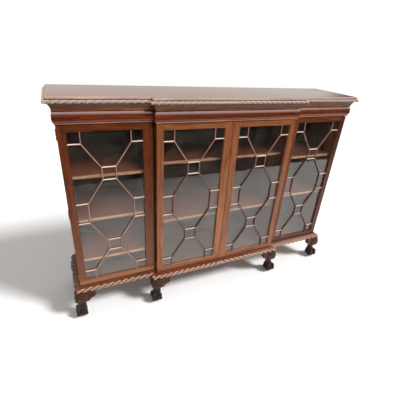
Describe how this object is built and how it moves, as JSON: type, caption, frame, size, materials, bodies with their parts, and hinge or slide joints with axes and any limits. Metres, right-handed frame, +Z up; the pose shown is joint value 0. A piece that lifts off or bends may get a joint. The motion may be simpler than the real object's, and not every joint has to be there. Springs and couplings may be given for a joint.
{
  "type": "breakfront display cabinet",
  "caption": "Breakfront display cabinet with glazed lattice doors, inner shelves, a rope-carved top and base, and carved ball-and-claw feet.",
  "frame": {"origin": "on the floor, at the middle of the cabinet's width and depth", "axes": "+X along the front to the right as one faces it, +Y from the front to the back, +Z up"},
  "size_m": [1.845, 0.4276, 1.263],
  "materials": {
    "top_mahogany": "french polished, glossy",
    "cornice_mahogany": "french polished, glossy",
    "case_mahogany": "french polished",
    "base_mahogany": "french polished, carved edge worn",
    "door_mahogany": "french polished, glossy",
    "astragal_mahogany": "french polished, edges worn pale",
    "carved_foot_mahogany": "dark stained and waxed, high spots worn",
    "shelf_wood": "planed and waxed, pale front edge",
    "back_boards": "stained dark",
    "glass": "clear window glass",
    "hinge_brass": "aged",
    "lock_brass": "aged"
  },
  "bodies": {
    "case": {"back_panel": "back_boards", "base_board": "base_mahogany", "case_top": "case_mahogany", "centre_left_foot": "carved_foot_mahogany", "centre_lower_shelf": "shelf_wood", "centre_right_foot": "carved_foot_mahogany", "centre_upper_shelf": "shelf_wood", "cornice_moulding": "cornice_mahogany", "front_left_foot": "carved_foot_mahogany", "front_right_foot": "carved_foot_mahogany", "left_centre_door_bottom_hinge_case_leaf": "hinge_brass", "left_centre_door_middle_hinge_case_leaf": "hinge_brass", "left_centre_door_top_hinge_case_leaf": "hinge_brass", "left_division": "case_mahogany", "left_end_panel": "case_mahogany", "left_wing_door_bottom_hinge_case_leaf": "hinge_brass", "left_wing_door_middle_hinge_case_leaf": "hinge_brass", "left_wing_door_top_hinge_case_leaf": "hinge_brass", "left_wing_lower_shelf": "shelf_wood", "left_wing_middle_shelf": "shelf_wood", "left_wing_upper_shelf": "shelf_wood", "rear_left_foot": "carved_foot_mahogany", "rear_right_foot": "carved_foot_mahogany", "right_centre_door_bottom_hinge_case_leaf": "hinge_brass", "right_centre_door_middle_hinge_case_leaf": "hinge_brass", "right_centre_door_top_hinge_case_leaf": "hinge_brass", "right_division": "case_mahogany", "right_end_panel": "case_mahogany", "right_wing_door_bottom_hinge_case_leaf": "hinge_brass", "right_wing_door_middle_hinge_case_leaf": "hinge_brass", "right_wing_door_top_hinge_case_leaf": "hinge_brass", "right_wing_lower_shelf": "shelf_wood", "right_wing_upper_shelf": "shelf_wood", "top_board": "top_mahogany"},
    "left_wing_door": {"left_wing_door_astragals": "astragal_mahogany", "left_wing_door_bottom_hinge_door_leaf": "hinge_brass", "left_wing_door_frame": "door_mahogany", "left_wing_door_glass": "glass", "left_wing_door_middle_hinge_door_leaf": "hinge_brass", "left_wing_door_top_hinge_door_leaf": "hinge_brass", "left_wing_lock": "lock_brass"},
    "left_centre_door": {"left_centre_door_astragals": "astragal_mahogany", "left_centre_door_bottom_hinge_door_leaf": "hinge_brass", "left_centre_door_frame": "door_mahogany", "left_centre_door_glass": "glass", "left_centre_door_middle_hinge_door_leaf": "hinge_brass", "left_centre_door_top_hinge_door_leaf": "hinge_brass"},
    "right_centre_door": {"centre_lock": "lock_brass", "right_centre_door_astragals": "astragal_mahogany", "right_centre_door_bottom_hinge_door_leaf": "hinge_brass", "right_centre_door_frame": "door_mahogany", "right_centre_door_glass": "glass", "right_centre_door_middle_hinge_door_leaf": "hinge_brass", "right_centre_door_top_hinge_door_leaf": "hinge_brass"},
    "right_wing_door": {"right_wing_door_astragals": "astragal_mahogany", "right_wing_door_bottom_hinge_door_leaf": "hinge_brass", "right_wing_door_frame": "door_mahogany", "right_wing_door_glass": "glass", "right_wing_door_middle_hinge_door_leaf": "hinge_brass", "right_wing_door_top_hinge_door_leaf": "hinge_brass"}
  },
  "joints": [
    {"name": "left_wing_door_hinge", "type": "hinge", "parent": "case", "child": "left_wing_door", "pos_m": [-0.878, -0.10975, 0.675], "axis": [0, 0, -1], "range_deg": [0, 175]},
    {"name": "left_centre_door_hinge", "type": "hinge", "parent": "case", "child": "left_centre_door", "pos_m": [-0.431, -0.14775, 0.675], "axis": [0, 0, -1], "range_deg": [0, 140]},
    {"name": "right_centre_door_hinge", "type": "hinge", "parent": "case", "child": "right_centre_door", "pos_m": [0.431, -0.14775, 0.675], "axis": [0, 0, 1], "range_deg": [0, 140]},
    {"name": "right_wing_door_hinge", "type": "hinge", "parent": "case", "child": "right_wing_door", "pos_m": [0.878, -0.10975, 0.675], "axis": [0, 0, 1], "range_deg": [0, 175]}
  ]
}
